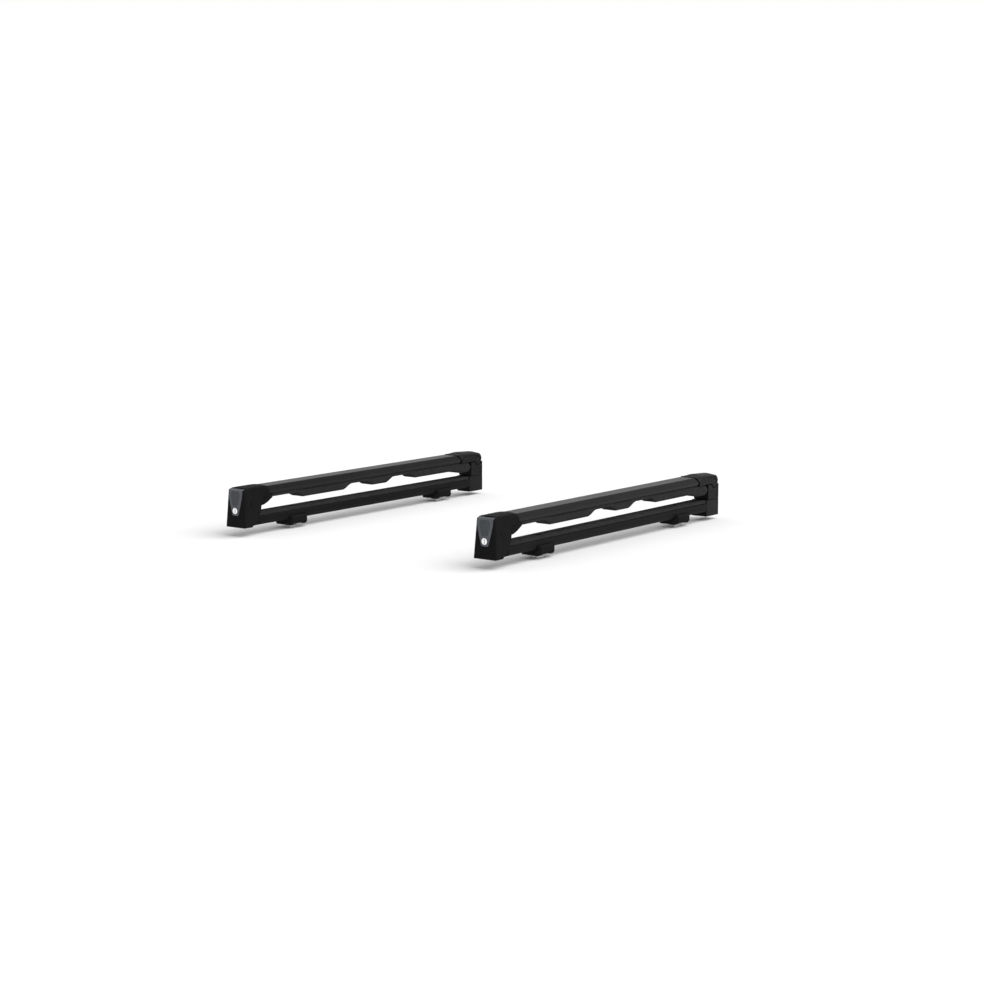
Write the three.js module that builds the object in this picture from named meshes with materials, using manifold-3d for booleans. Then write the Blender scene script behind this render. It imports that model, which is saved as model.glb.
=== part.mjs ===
// A pair of clamping roof ski carriers for a car's T-track load bars.
// Each carrier lies across the roof: a fixed lower rail on two feet, and an upper arm that is
// hinged on a spring-held post at one end and latched by a locking push button at the other.
// Millimetres, +Z up, +X from the lock end to the hinge end, origin at the middle of the
// bottom of the bounding box.
import * as THREE from "three";
import { mergeVertices } from "three/addons/utils/BufferGeometryUtils.js";
import Module from "manifold-3d";

const wasm = await Module();
wasm.setup();

// ---- Driving dimensions, in one carrier's own frame: x = 0 is the outer face of the lock
// housing, y = 0 the middle of the carrier, z = 0 one millimetre above the lower rail's underside.
const unitSpacing = 700;
const gap = 0.3; // working clearance between pieces that touch
const fit = 0.4; // clearance round pieces that slide

const rail = { halfWidth: 20, height: 19, wall: 2, bead: 0.6, slot: 7 };
const lowerRail = { x0: 56, x1: 830.1, z: -1 };
const upperRail = { x0: 34, z: 65.4 };
const railHole = 4.5; // radius of the hole over each foot
// The seam between the upper rail and the hinge cap leans, with its top nearer the lock.
const seam = { top: [779, 85.6], bend: [801, 70.5], low: [797, 62], width: 3.5 };

const pad = { halfWidth: 19, neck: 6.6, rootHalf: 11, rootHeight: 3.6 };
const lowerPad = { x0: 60, top: 26, rootX0: 75, accessHole: 7.5 };
const upperPad = { x0: 102, x1: 836.5, hang: 45.5, seat: 57.5, nose: 38, bulge: 61.5, flare: 752 };
const skiSeats = [[60, 180], [379, 428], [535, 590]]; // where the upper pad is pressed in
const seatRamp = 30;

const housing = {
  length: 88.4,
  underside: -2.5,
  height: 87.6,
  edgeHeight: 85.4,
  halfBottom: 29.5,
  halfTop: 22.8,
  cornerBottom: 4.5,
  cornerTop: 9,
  wall: 3,
  ceiling: 84.9,
  cavityHalf: 21.2,
};
const cover = { x0: 53, x1: 101.7, half: 20.9, cheek: 2.4, top: 65 };
const button = {
  bottom: 24, halfBottom: 8.8, shoulder: 70, top: 84.5, halfTop: 20.8, bevel: 80.5,
  wall: 5, flange: 1.6, panelDepth: 1.1,
};
const buttonSpring = { z: 58, radius: 3, wire: 0.45, turns: 5, length: 13.2, boss: 2.2 };
const latchPivot = { x: 22, z: 51, radius: 2.5, head: 3.2, reach: 23.6, headDepth: 0.6 };
const latchLeg = { inner: 10.5, outer: 13, halfDepth: 3.5, top: 71, toe: 36.5 };
const striker = { x0: 31, x1: 46, half: 17, z: 10, thickness: 1.8 };
const lock = { z: 35, face: 7.2, barrel: 6.2, tail: 1.9 };
const lockFaceX = -0.5; // how far the lock stands out of the housing

const pivot = { x: 867.5, z: 68, pin: 4 };
const lobe = 14.5; // radius of the hinge cap's cheeks about the pin
const saddle = 16.3; // radius of the hollow in the post that clears them
const knuckle = { radius: 11, half: 9 };
const capUnderside = 62.5;
const capPlug = { x0: 758, x1: 812, z0: 68, z1: 81.9 };
const post = { x0: 837.5, x1: 887.5, half: 20, shoulder: 60.7, collar: 26.6, foot: -9 };
const stem = { x0: 842.5, x1: 882.5, half: 15 };
const well = { x: 850.5, radius: 6, floor: -6 };
const springRod = { radius: 2.5, head: 5.2, headZ: 36, top: 40, socket: 2.2 };
const liftSpring = { radius: 4.2, wire: 0.6, turns: 8, length: 41 };
const guide = { x0: 830.5, top: 26, floor: -10, bottom: -13 };
const plug = { length: 22, top: 11.3 }; // of the mouldings that plug into the lower rail

const footXs = { lock: 186, hinge: 722 };
const foot = { half: 30, halfWidth: 27, bottom: -13, lip: 7.2 };
const footPad = { inner: 15, outer: 28, halfWidth: 22, bottom: -15 };
const clampScrew = { radius: 4, head: 6.5, headHeight: 6, tip: -22.5 };
const trackNut = { halfLength: 14, halfWidth: 9.5, bottom: -23, plate: 4.6, boss: 5, top: -14.6 };

// ---- Shapes: outlines are lists of [u, v] or [u, v, radius of the rounded corner].
function outline(points) {
  const shape = new THREE.Shape();
  points.forEach(([u, v, radius = 0], i) => {
    const corner = new THREE.Vector2(u, v);
    const before = new THREE.Vector2(...points.at(i - 1).slice(0, 2));
    const after = new THREE.Vector2(...points[(i + 1) % points.length].slice(0, 2));
    const enter = corner.clone().add(before.sub(corner).setLength(radius));
    const leave = corner.clone().add(after.sub(corner).setLength(radius));
    if (i === 0) shape.moveTo(enter.x, enter.y);
    else shape.lineTo(enter.x, enter.y);
    if (radius > 0) shape.quadraticCurveTo(corner.x, corner.y, leave.x, leave.y);
  });
  shape.closePath();
  return shape;
}

function disc(u, v, radius) {
  const shape = new THREE.Shape();
  shape.absarc(u, v, radius, 0, 2 * Math.PI, false);
  return shape;
}

// The outline of half a section, given from bottom to top, with its mirror image.
function mirrored(half) {
  const other = half.map(([u, v, radius = 0]) => [-u, v, radius]).reverse();
  return outline([...half, ...other]);
}

// Each extrusion keeps the world's axes: along X an outline is (y, z), along Y it is (x, z)
// and along Z it is (x, y).
const BASES = {
  x: [[0, 1, 0], [0, 0, 1], [1, 0, 0]],
  y: [[1, 0, 0], [0, 0, 1], [0, -1, 0]],
  z: [[1, 0, 0], [0, 1, 0], [0, 0, 1]],
};

function extrude(axis, shape, from, to, { curveSegments = 4, steps = 1 } = {}) {
  const options = { depth: to - from, bevelEnabled: false, curveSegments, steps };
  const geometry = new THREE.ExtrudeGeometry(shape, options);
  const start = axis === "y" ? -to : from;
  const basis = BASES[axis].map((v) => new THREE.Vector3(...v));
  geometry.translate(0, 0, start);
  return geometry.applyMatrix4(new THREE.Matrix4().makeBasis(...basis));
}

function block([x0, x1], [y0, y1], [z0, z1]) {
  const geometry = new THREE.BoxGeometry(x1 - x0, y1 - y0, z1 - z0);
  return geometry.translate((x0 + x1) / 2, (y0 + y1) / 2, (z0 + z1) / 2);
}

// A cylinder along an axis: its centre line is at (u, v) in the outline plane of that axis.
function rod(axis, [u, v], radius, from, to, sides = 20) {
  const divisions = { curveSegments: sides / 2 };
  return extrude(axis, disc(u, v, radius), from, to, divisions);
}

// A solid between two convex outlines that have the same number of points, one above the other.
function ruled([lowShape, low], [highShape, high]) {
  const rings = [lowShape, highShape].map((shape) => shape.extractPoints(6).shape.slice(0, -1));
  const count = rings[0].length;
  const positions = [];
  for (const { x, y } of rings[0]) positions.push(x, y, low);
  for (const { x, y } of rings[1]) positions.push(x, y, high);
  const index = [];
  for (let i = 0; i < count; i += 1) {
    const next = (i + 1) % count;
    index.push(i, next, count + next, i, count + next, count + i);
    if (i > 1) index.push(0, i, i - 1, count, count + i - 1, count + i);
  }
  const geometry = new THREE.BufferGeometry();
  geometry.setAttribute("position", new THREE.Float32BufferAttribute(positions, 3));
  geometry.setIndex(index);
  return geometry;
}

// ---- Joining and cutting.
function solid(geometry) {
  const plain = new THREE.BufferGeometry();
  const source = geometry.index ? geometry.toNonIndexed() : geometry;
  plain.setAttribute("position", source.getAttribute("position"));
  const merged = mergeVertices(plain, 1e-4);
  const vertProperties = new Float32Array(merged.attributes.position.array);
  const triVerts = new Uint32Array(merged.index.array);
  return new wasm.Manifold(new wasm.Mesh({ numProp: 3, vertProperties, triVerts }));
}

function join(...geometries) {
  return geometries.map(solid).reduce((whole, piece) => whole.add(piece));
}

function cut(whole, ...geometries) {
  return geometries.map(solid).reduce((rest, tool) => rest.subtract(tool), whole);
}

function geometryOf(manifold) {
  const { vertProperties, triVerts } = manifold.getMesh();
  const geometry = new THREE.BufferGeometry();
  geometry.setAttribute("position", new THREE.BufferAttribute(vertProperties, 3));
  geometry.setIndex(new THREE.BufferAttribute(triVerts, 1));
  geometry.computeVertexNormals();
  return geometry;
}

// ---- Materials.
function finish(color, roughness, metalness) {
  return new THREE.MeshStandardMaterial({ color, roughness, metalness });
}

const materials = {
  rail: finish(0x2f3031, 0.45, 0.4),
  plastic: finish(0x232425, 0.6, 0),
  button: finish(0x4a4d51, 0.5, 0),
  rubber: finish(0x2b2b2c, 0.85, 0),
  steel: finish(0xa9abae, 0.35, 1),
  chrome: finish(0xd6d8da, 0.15, 1),
};

// ---- Rails: one aluminium section for both, open along the side that holds the pad.
function railOutline(slotOnTop) {
  const { halfWidth: w, height: h, wall, bead, slot } = rail;
  const inner = w - wall;
  const foot = w - 1.4;
  const side = [[foot, 0, 0.6], [w + bead, 5.4, 0.4], [w, 6.4], [w, h, 2.4]];
  const hollowDown = [[slot, h], [slot, h - wall], [inner, h - wall], [inner, wall]];
  const hollowUp = [[slot, 0], [slot, wall], [inner, wall], [inner, h - wall]];
  const openTop = mirrored([...side, ...hollowDown]);
  const openBottom = mirrored([...hollowUp.toReversed(), ...side]);
  return slotOnTop ? openTop : openBottom;
}

function lowerRailPiece() {
  const section = extrude("x", railOutline(true), lowerRail.x0, lowerRail.x1);
  const holes = Object.values(footXs).map((x) => rod("z", [x, 0], railHole, -10, 10, 16));
  const whole = join(section.translate(0, 0, lowerRail.z));
  return geometryOf(cut(whole, ...holes));
}

// Everything on the hinge side of the seam, moved along X by an offset.
function beyondSeam(offset) {
  const [topX, topZ] = seam.top;
  const [bendX, bendZ] = seam.bend;
  const [lowX, lowZ] = seam.low;
  const lean = (bendX - topX) / (topZ - bendZ);
  const above = 10;
  const side = [[topX - above * lean, topZ + above], [920, topZ + above], [920, 40], [lowX, 40],
    [lowX, lowZ], [bendX, bendZ, 2]];
  return extrude("y", outline(side.map(([x, ...rest]) => [x + offset, ...rest])), -30, 30);
}

function upperRailPiece() {
  const section = extrude("x", railOutline(false), upperRail.x0, seam.bend[0] + 10);
  const whole = join(section.translate(0, 0, upperRail.z));
  return geometryOf(cut(whole, beyondSeam(-seam.width)));
}

// ---- Pads: soft strips whose T-shaped roots sit in the rails.
function padRoot(z, direction) {
  const lip = rail.wall + 2 * gap + fit;
  const head = lip + pad.rootHeight;
  const levels = [[pad.neck, 0], [pad.neck, lip], [pad.rootHalf, lip], [pad.rootHalf, head]];
  return levels.map(([y, depth]) => [y, z - direction * depth]);
}

function lowerPadPiece() {
  const base = lowerRail.z + rail.height + gap;
  const half = pad.halfWidth - 1;
  const section = mirrored([...padRoot(base, 1).toReversed(), [half, base], [half, lowerPad.top, 4]]);
  const strip = join(extrude("x", section, lowerPad.x0, guide.x0 - gap));
  const rootEnds = [[0, lowerPad.rootX0], [guide.x0 - plug.length - 4, guide.x0]];
  const rootTools = rootEnds.map((xs) => block(xs, [-15, 15], [0, base - gap]));
  const holes = Object.values(footXs).map((x) => rod("z", [x, 0], lowerPad.accessHole, 0, 30, 20));
  return geometryOf(cut(strip, ...rootTools, ...holes));
}

function smoothStep(value) {
  const t = Math.min(1, Math.max(0, value));
  return t * t * (3 - 2 * t);
}

// How far down the upper pad reaches at a place along it.
function upperPadBottom(x) {
  const pressed = skiSeats.map(([from, to]) => {
    const rising = smoothStep((x - from + seatRamp) / seatRamp);
    const falling = smoothStep((to + seatRamp - x) / seatRamp);
    return Math.min(rising, falling);
  });
  const flare = smoothStep((x - upperPad.flare) / 50);
  const seatRise = (upperPad.seat - upperPad.hang) * Math.max(...pressed);
  return upperPad.hang + seatRise - (upperPad.hang - upperPad.nose) * flare;
}

function upperPadPiece() {
  const top = upperRail.z - gap;
  const { bulge, x0, x1, hang } = upperPad;
  const w = pad.halfWidth;
  const body = [[w - 4, top], [w - 4, bulge + 1], [w, bulge], [w, 50], [w - 4, hang]];
  const section = mirrored([...body.toReversed(), ...padRoot(top, -1)]);
  const strip = extrude("x", section, x0, x1, { steps: 38 });
  const position = strip.getAttribute("position");
  for (let i = 0; i < position.count; i += 1) {
    const z = position.getZ(i);
    if (z >= bulge) continue;
    const stretch = (bulge - upperPadBottom(position.getX(i))) / (bulge - hang);
    position.setZ(i, bulge - (bulge - z) * stretch);
  }
  const nose = outline([[x1 - 14, 30], [x1 + 5, 30], [x1 + 5, 62], [x1 - 7, 62], [x1, 49],
    [x1 - 5, 38]]);
  const tools = [
    block([capPlug.x0 - 1, x1 + 5], [-15, 15], [top + gap / 2, 80]),
    block([seam.low[0] - 1, x1 + 5], [-30, 30], [capUnderside - gap, 80]),
    extrude("y", nose, -30, 30),
  ];
  return geometryOf(cut(join(strip), ...tools));
}

// ---- Lock end, fixed to the lower rail.
function railPlug(x0, x1, z0, z1) {
  const half = rail.halfWidth - rail.wall - fit;
  return block([x0, x1], [-half, half], [z0, z1]);
}

function lowerPlug(x0, x1) {
  return railPlug(x0, x1, lowerRail.z + rail.wall + fit, plug.top);
}

function endBlockPiece() {
  const end = lowerRail.x0 - gap;
  const side = outline([[30, -1, 2], [end, -1], [end, 24, 2], [44, 24, 3], [30, 15, 2]]);
  const body = extrude("y", side, -rail.halfWidth, rail.halfWidth);
  const hookRoom = block([20, 40], [-14.5, 14.5], [-5, 30]);
  const plateHalf = striker.half + fit;
  const plateSlot = block([20, striker.x1 + fit], [-plateHalf, plateHalf],
    [striker.z - gap, striker.z + striker.thickness + gap]);
  return geometryOf(cut(join(body, lowerPlug(end - 6, end + 18)), hookRoom, plateSlot));
}

function strikerPiece() {
  const { x0, x1, half, z, thickness } = striker;
  const plan = outline([[x0, -half, 1], [x1, -half], [x1, half], [x0, half, 1]]);
  return extrude("z", plan, z, z + thickness, { curveSegments: 2 });
}

// ---- Hinge end, fixed to the lower rail: the sleeve that the post slides in.
function guidePiece() {
  const { x0, top, floor, bottom } = guide;
  const plan = outline([[x0, -post.half, 2], [post.x1, -post.half, 6], [post.x1, post.half, 6],
    [x0, post.half, 2]]);
  const body = extrude("z", plan, bottom, top);
  const bore = block([stem.x0 - fit, stem.x1 + fit], [-stem.half - fit, stem.half + fit],
    [floor, top + 5]);
  const rodHole = rod("z", [well.x, 0], springRod.radius + gap, bottom - 1, floor + 1, 12);
  return geometryOf(cut(join(body, lowerPlug(x0 - plug.length, x0 + 2)), bore, rodHole));
}

// The shouldered rod stands in the sleeve's floor; its head holds the spring down.
function springRodPiece() {
  const { radius, head, headZ, top, socket } = springRod;
  const shank = rod("z", [well.x, 0], radius, guide.bottom, headZ + 2, 12);
  const headDisc = rod("z", [well.x, 0], head, headZ, top, 20);
  const keySocket = rod("z", [well.x, 0], socket, headZ + 2, top + 1, 6);
  return geometryOf(cut(join(shank, headDisc), keySocket));
}

class Helix extends THREE.Curve {
  constructor(radius, turns, length) {
    super();
    this.radius = radius;
    this.turns = turns;
    this.length = length;
  }

  getPoint(t, target = new THREE.Vector3()) {
    const angle = 2 * Math.PI * this.turns * t;
    const { radius, length } = this;
    return target.set(radius * Math.cos(angle), radius * Math.sin(angle), length * t);
  }
}

function spring({ radius, wire, turns, length }) {
  const path = new Helix(radius, turns, length - 2 * wire);
  const options = { steps: turns * 9, curveSegments: 3, extrudePath: path };
  const coil = new THREE.ExtrudeGeometry(disc(0, 0, wire), options);
  return coil.translate(0, 0, wire);
}

function liftSpringPiece() {
  return spring(liftSpring).translate(well.x, 0, well.floor + gap);
}

// ---- The post: a stem in the sleeve, a collar with a hollow saddle, and the hinge knuckle.
function postPiece() {
  const { x0, x1, half, collar, shoulder, foot: stemFoot } = post;
  const at = [pivot.x, pivot.z];
  const plan = outline([[x0, -half, 2], [x1, -half, 6], [x1, half, 6], [x0, half, 2]]);
  const body = extrude("z", plan, collar, shoulder);
  const stemPart = block([stem.x0, stem.x1], [-stem.half, stem.half], [stemFoot, collar + 1]);
  const knuckleDisc = rod("y", at, knuckle.radius, -knuckle.half, knuckle.half, 32);
  const neck = block([well.x + well.radius + 0.5, pivot.x + 0.5], [-knuckle.half, knuckle.half],
    [48, pivot.z]);
  const saddled = cut(join(body), rod("y", at, saddle, -30, 30, 48));
  const whole = saddled.add(join(stemPart)).add(join(neck, knuckleDisc));
  return geometryOf(cut(
    whole,
    rod("y", at, pivot.pin + gap, -30, 30),
    rod("z", [well.x, 0], well.radius, well.floor, shoulder + 0.4, 20),
    rod("z", [well.x, 0], springRod.radius + 0.5, -20, 20, 12),
  ));
}

function hingePinPiece() {
  const half = rail.halfWidth - 0.2;
  return rod("y", [pivot.x, pivot.z], pivot.pin, -half, half);
}

// ---- The arm's hinge cap, plugged into the upper rail.
function capSide() {
  const degrees = Math.PI / 180;
  const lobeStart = 70 * degrees;
  const drop = pivot.z - capUnderside;
  const lobeEnd = -Math.PI + Math.asin(drop / lobe);
  const x0 = seam.top[0] - 6;
  const side = new THREE.Shape();
  side.moveTo(x0, seam.top[1] - 0.2);
  side.lineTo(seam.top[0], seam.top[1]);
  side.quadraticCurveTo(796, 90.6, 812, 90.6);
  side.quadraticCurveTo(840, 90.2, 857, 86.4);
  side.quadraticCurveTo(866, 84.4, pivot.x + lobe * Math.cos(lobeStart),
    pivot.z + lobe * Math.sin(lobeStart));
  side.absarc(pivot.x, pivot.z, lobe, lobeStart, lobeEnd, true);
  side.lineTo(x0, capUnderside);
  side.closePath();
  return side;
}

// The cap's arched cross-section, which gets lower towards the pin.
function capArch() {
  const half = rail.halfWidth + rail.bead;
  const fall = 0.055;
  const [x0, edge] = seam.top;
  const section = outline([[-half, 50], [half, 50], [half, edge, 3], [0, edge + 9, 17],
    [-half, edge, 3]]);
  const arch = extrude("x", section, x0 - 10, 900, { curveSegments: 6 });
  return arch.applyMatrix4(new THREE.Matrix4().makeShear(0, -fall, 0, 0, 0, 0)
    .setPosition(0, 0, fall * x0));
}

function hingeCapPiece() {
  const half = rail.halfWidth + rail.bead;
  const at = [pivot.x, pivot.z];
  const crowned = solid(extrude("y", capSide(), -half, half, { curveSegments: 10 }))
    .intersect(solid(capArch()))
    .intersect(solid(beyondSeam(0)));
  const { x0, x1, z0, z1 } = capPlug;
  const slotHalf = knuckle.half + fit;
  const slotRadius = knuckle.radius + 0.6;
  const neckRoom = outline([at, [pivot.x - slotRadius, pivot.z], [pivot.x - slotRadius, 40],
    [905, 40], [905, pivot.z - 2.8]]);
  return geometryOf(cut(
    crowned.add(solid(railPlug(x0, x1, z0, z1))),
    rod("y", at, slotRadius, -slotHalf, slotHalf, 32),
    extrude("y", neckRoom, -slotHalf, slotHalf),
    rod("y", at, pivot.pin + gap, -30, 30),
  ));
}

// ---- The lock housing: a tapered shell round the end of the arm.
function housingEnvelope(inset) {
  const { length, underside, height, halfBottom, halfTop, cornerBottom, cornerTop } = housing;
  const side = outline([[0, underside, 1], [26, underside, 4], [54.5, 26, 4], [58, 38, 6],
    [66, 62.8, 6], [length, 63.2, 3], [length, height - 0.6, 13], [46, height],
    [2, height - 1, 7]]);
  const plan = (half, corner) => outline([[inset, -half, corner], [length + 20, -half],
    [length + 20, half], [inset, half, corner]]);
  const tapered = ruled([plan(halfBottom - inset, cornerBottom), underside],
    [plan(halfTop - inset, cornerTop), height]);
  const top = housing.edgeHeight - inset;
  const arch = outline([[-40, -5], [40, -5], [40, top - 3], [24, top, 5], [0, height + 1, 18],
    [-24, top, 5], [-40, top - 3]]);
  return solid(extrude("y", side, -40, 40, { curveSegments: 6 }))
    .intersect(solid(tapered))
    .intersect(solid(extrude("x", arch, -5, length + 30, { curveSegments: 6 })));
}

function buttonOutline(grow) {
  const { bottom, shoulder, top, halfBottom, halfTop } = button;
  const waist = { half: 15.3, z: 47 };
  const side = [[halfBottom + grow, bottom - grow, 4], [waist.half + grow, waist.z],
    [halfTop - 0.1 + grow, shoulder, 6], [halfTop + grow, top + grow]];
  return mirrored(side);
}

// The room above the button's face, where its top is bevelled back under the housing's brow.
function bevelRoom(top) {
  return outline([[-5, button.bevel], [0.4, button.bevel], [3, 82.6], [12.4, top], [15, top],
    [15, 95], [-5, 95]]);
}

function housingPiece() {
  const { wall, length, ceiling, cavityHalf } = housing;
  const at = [latchPivot.x, latchPivot.z];
  const cavity = block([wall, length + 10], [-cavityHalf, cavityHalf], [-5, ceiling]);
  const face = extrude("x", buttonOutline(fit), -5, wall + 1);
  const brow = outline([[-5, 80], [3.5, 80], [12.4, ceiling - 0.1], [12.4, 95], [-5, 95]]);
  const browCut = extrude("y", brow, -button.halfTop - fit, button.halfTop + fit);
  // The side walls beside the button slope back with its bevel.
  const slope = outline([[-5, 80.9], [2, 80.9], [12.4, ceiling - 0.2], [12.4, 95], [-5, 95]]);
  const slopeCut = extrude("y", slope, -40, 40);
  const springX = button.wall + buttonSpring.length + 2 * gap;
  const seat = block([springX, springX + 2.5], [-5.5, 5.5], [54.5, ceiling + 0.5]);
  const hollow = cut(housingEnvelope(0), cavity, face, browCut, slopeCut).add(solid(seat));
  const headFloor = latchPivot.reach - latchPivot.headDepth - 0.2;
  return geometryOf(cut(
    hollow,
    rod("y", at, latchPivot.radius + gap, -40, 40, 16),
    rod("y", at, latchPivot.head + fit, headFloor, 40, 20),
    rod("y", at, latchPivot.head + fit, -40, -headFloor, 20),
  ));
}

function latchPinPiece() {
  const { x, z, radius, head, reach, headDepth } = latchPivot;
  return geometryOf(join(
    rod("y", [x, z], radius, 0.2 - reach, reach - 0.2, 16),
    rod("y", [x, z], head, reach - headDepth, reach, 20),
    rod("y", [x, z], head, -reach, headDepth - reach, 20),
  ));
}

// A bent channel that closes the arm's underside between the housing and the pad.
function housingCoverPiece() {
  const { x0, x1, half, cheek, top } = cover;
  const outer = outline([[x0, 30], [56.5, 30, 1], [56.5, 41.5, 2], [70, 42.6, 4], [82, 46, 8],
    [x1, 57.5], [x1, top], [x0, top]]);
  const inner = outline([[x0 - 3, 44.5], [69, 45.6, 4], [81, 49, 8], [x1 - 3, 59.3],
    [x1 - 3, top + 5], [x0 - 3, top + 5]]);
  const inside = half - cheek;
  return geometryOf(cut(join(extrude("y", outer, -half, half)),
    extrude("y", inner, -inside, inside)));
}

// ---- The push button, with the lock in its lower end.
function buttonPiece() {
  const { wall, top, flange, panelDepth } = button;
  const innerHalf = button.halfTop - 0.2;
  const plate = solid(extrude("x", buttonOutline(0), -1, wall)).intersect(housingEnvelope(0.3));
  const rim = solid(extrude("x", buttonOutline(flange), housing.wall + fit, wall))
    .intersect(solid(block([0, 10], [-innerHalf, innerHalf], [0, 80])));
  const brow = outline([[3.4, 76], [3.4, top], [13.2, top], [13.2, 81.5], [5, 76]]);
  const shelf = extrude("y", brow, -innerHalf, innerHalf);
  const prongs = [-1, 1].map((side) => {
    const ys = [latchLeg.inner + 0.1, latchLeg.outer - 0.1].map((y) => y * side);
    return block([wall - 1, latchPivot.x - latchLeg.halfDepth - gap],
      ys.sort((a, b) => a - b), [66.5, 70]);
  });
  const springBoss = rod("x", [0, buttonSpring.z], buttonSpring.boss, wall - 1, wall + 3, 12);
  const whole = plate.add(rim).add(join(shelf, springBoss)).add(join(...prongs));
  const panel = mirrored([[8, 45.5, 4], [14.4, 69, 5], [11.5, 79.5, 4]]);
  return geometryOf(cut(
    whole,
    extrude("y", bevelRoom(top), -30, 30),
    rod("x", [0, lock.z], lock.face + gap, -5, 2.5, 28),
    rod("x", [0, lock.z], lock.barrel + gap, -5, 10, 24),
    extrude("x", panel, -2, panelDepth),
  ));
}

function buttonSpringPiece() {
  const coil = spring(buttonSpring);
  return coil.rotateY(Math.PI / 2).translate(button.wall + gap, 0, buttonSpring.z);
}

function lockCylinderPiece() {
  const at = [0, lock.z];
  const body = join(
    rod("x", at, lock.face, lockFaceX, 2.2, 28),
    rod("x", at, lock.barrel, 1, 14, 24),
    rod("x", at, lock.tail, 13, 17.5, 12),
  );
  const keyway = block([-2, 1.4], [-0.8, 0.8], [lock.z - 4, lock.z + 4]);
  return geometryOf(cut(body, keyway));
}

function lockCamPiece() {
  const plate = outline([[-4.5, 30.5, 3], [9.6, 31.8, 2], [9.6, 38.2, 2], [-4.5, 39.5, 3]]);
  const cam = solid(extrude("x", plate, 14.3, 16.3));
  return geometryOf(cut(cam, rod("x", [0, lock.z], lock.tail + gap, 10, 20, 12)));
}

// ---- The latch: two legs on the pin, joined by a toe that hooks under the striker plate.
function latchPiece() {
  const { x, z } = latchPivot;
  const { inner, outer, halfDepth, top, toe } = latchLeg;
  const toeTop = striker.z - gap;
  const toeBottom = toeTop - striker.thickness;
  const leg = outline([[x - halfDepth, toeBottom, 1], [x + halfDepth - 1, toeBottom],
    [x + halfDepth - 1, 30, 4], [x + halfDepth, 44, 4], [x + halfDepth, top, 2],
    [x - halfDepth, top, 1]]);
  const hook = block([x - halfDepth, toe], [-outer, outer], [toeBottom, toeTop]);
  const rear = block([x - halfDepth, x - halfDepth + 2], [-outer, outer], [toeBottom, 20]);
  const legs = [extrude("y", leg, -outer, -inner), extrude("y", leg, inner, outer)];
  const hole = rod("y", [x, z], latchPivot.radius + gap, -40, 40, 16);
  return geometryOf(cut(join(...legs, hook, rear), hole));
}

// ---- Feet: a bracket that grips the lower rail's beads, pads, and a T-track nut on a screw.
function footPiece(x) {
  const { half, halfWidth: w, bottom, lip } = foot;
  const channel = rail.halfWidth + rail.bead + fit;
  const floor = lowerRail.z - gap;
  const section = mirrored([[w - 4, bottom, 1], [w, bottom + 4, 1], [w, 3], [w - 3, lip, 1],
    [rail.halfWidth + fit, lip], [rail.halfWidth + fit, 5.6], [channel, 4.6], [channel, floor]]);
  const plan = outline([[x - half, 8 - w], [x - half + 6, -w], [x + half - 6, -w], [x + half, 8 - w],
    [x + half, w - 8], [x + half - 6, w], [x - half + 6, w], [x - half, w - 8]]);
  const body = solid(extrude("x", section, x - half, x + half))
    .intersect(solid(extrude("z", plan, -40, 40)));
  return geometryOf(cut(body, rod("z", [x, 0], clampScrew.radius + 0.5, -40, 40, 16)));
}

function footPadPiece(x, side) {
  const { inner, outer, halfWidth, bottom } = footPad;
  const ends = [inner, outer].map((d) => x + side * d).sort((a, b) => a - b);
  const plan = outline([[ends[0], -halfWidth, 2], [ends[1], -halfWidth, 2],
    [ends[1], halfWidth, 2], [ends[0], halfWidth, 2]]);
  return extrude("z", plan, bottom, foot.bottom - gap, { curveSegments: 2 });
}

function clampScrewPiece(x) {
  const { radius, head, headHeight, tip } = clampScrew;
  const under = lowerRail.z + rail.wall + gap;
  const whole = join(
    rod("z", [x, 0], radius, tip, under + 1, 16),
    rod("z", [x, 0], head, under, under + headHeight, 24),
  );
  return geometryOf(cut(whole, rod("z", [x, 0], 3.4, under + 2, under + headHeight + 1, 6)));
}

function trackNutPiece(x) {
  const { halfLength, halfWidth, bottom, plate, boss, top } = trackNut;
  const base = block([x - halfLength, x + halfLength], [-halfWidth, halfWidth],
    [bottom, bottom + plate]);
  const neck = block([x - 10, x + 10], [-boss, boss], [bottom + plate - 1, top]);
  const bore = rod("z", [x, 0], clampScrew.radius + gap, bottom - 1, top + 1, 16);
  return geometryOf(cut(join(base, neck), bore));
}

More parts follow.
